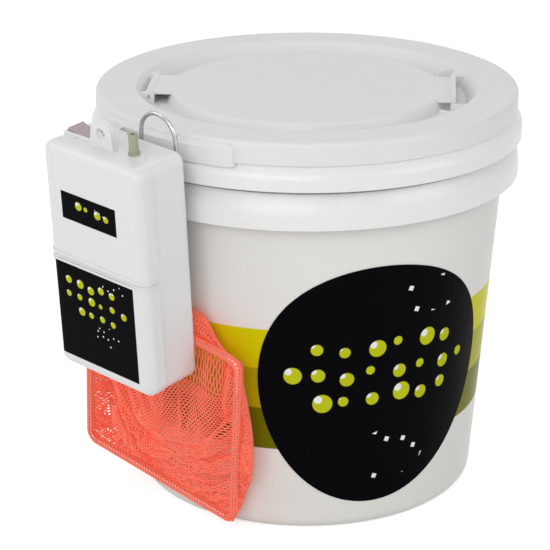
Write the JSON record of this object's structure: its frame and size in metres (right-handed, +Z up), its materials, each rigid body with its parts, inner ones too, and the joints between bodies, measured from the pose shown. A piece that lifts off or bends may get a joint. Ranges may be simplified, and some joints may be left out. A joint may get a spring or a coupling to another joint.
{
  "type": "aerated bait bucket",
  "caption": "Insulated white pail with a hinged hatch in its lid, a battery air pump hung from the rim and a wire-framed dip net tucked behind it.",
  "frame": {"origin": "centre of the pail base, at the level of the floor", "axes": "+Z up along the pail axis; -Y faces the viewer, +X to the viewer right; the air pump and net hang on the front left"},
  "size_m": [0.3289, 0.3314, 0.3088],
  "materials": {
    "pail_plastic": "glossy white moulded",
    "insulating_foam": "white expanded foam",
    "lid_plastic": "satin white moulded",
    "seal_rubber": "grey",
    "steel": "drawn",
    "pump_plastic": "satin white moulded",
    "switch_rose": "dusky rose",
    "cell_jacket": "dark jacket",
    "inner_plastic": "dark grey",
    "nozzle_plastic": "olive grey",
    "clear_tube": "clear vinyl",
    "net_wire": "bright wire",
    "net_mesh": "coral red knotless mesh"
  },
  "bodies": {
    "pail": {"bucket_shell": "pail_plastic", "upper_stacking_rib": "pail_plastic", "lower_stacking_rib": "pail_plastic", "foam_liner": "insulating_foam"},
    "lid": {"lid": "lid_plastic", "pump_hanger": "lid_plastic", "rim_gasket": "seal_rubber", "lid_insulation": "insulating_foam", "hinge_pin": "steel"},
    "hatch": {"hatch": "lid_plastic", "hatch_insulation": "insulating_foam"},
    "pump": {"pump_back_housing": "pump_plastic", "pump_front_cover": "pump_plastic", "switch_bezel": "pump_plastic", "battery_left": "cell_jacket", "battery_right": "cell_jacket", "terminal_plates": "steel", "contact_bridge": "steel", "motor": "steel", "drive_rod": "inner_plastic", "diaphragm": "seal_rubber", "pump_head": "inner_plastic", "air_nozzle": "nozzle_plastic", "air_tube": "clear_tube", "housing_screws": "steel", "pump_clip": "steel", "clip_rivets": "steel"},
    "battery_door": {"battery_cover": "pump_plastic"},
    "switch": {"switch_rocker": "switch_rose"},
    "crank": {"crank": "steel"},
    "net": {"net_frame": "net_wire", "net_bag": "net_mesh"}
  },
  "joints": [
    {"name": "lid_lift", "type": "slide", "parent": "pail", "child": "lid", "axis": [0, 0, 1], "range_m": [0, 0.024]},
    {"name": "hatch_hinge", "type": "hinge", "parent": "lid", "child": "hatch", "pos_m": [-0.10973, 0.00767, 0.2874], "axis": [-0.0698, -0.9976, 0], "range_deg": [0, 105]},
    {"name": "pump_unhook", "type": "slide", "parent": "lid", "child": "pump", "axis": [-0.0791, -0.0857, 0.9932], "range_m": [0, 0.01]},
    {"name": "battery_door_slide", "type": "slide", "parent": "pump", "child": "battery_door", "axis": [0.0373, 0.1241, -0.9916], "range_m": [0, 0.06]},
    {"name": "switch_rock", "type": "hinge", "parent": "pump", "child": "switch", "pos_m": [-0.14855, -0.1122, 0.28695], "axis": [-0.6735, -0.7299, -0.1167], "range_deg": [0, 18]},
    {"name": "crank_spin", "type": "hinge", "parent": "pump", "child": "crank", "pos_m": [-0.12981, -0.12166, 0.23362], "axis": [0.7382, -0.6722, -0.0563], "continuous": true},
    {"name": "net_slide", "type": "slide", "parent": "pump", "child": "net", "axis": [-0.0791, -0.0857, 0.9932], "range_m": [0, 0.02], "deforming": ["net_bag"]}
  ]
}
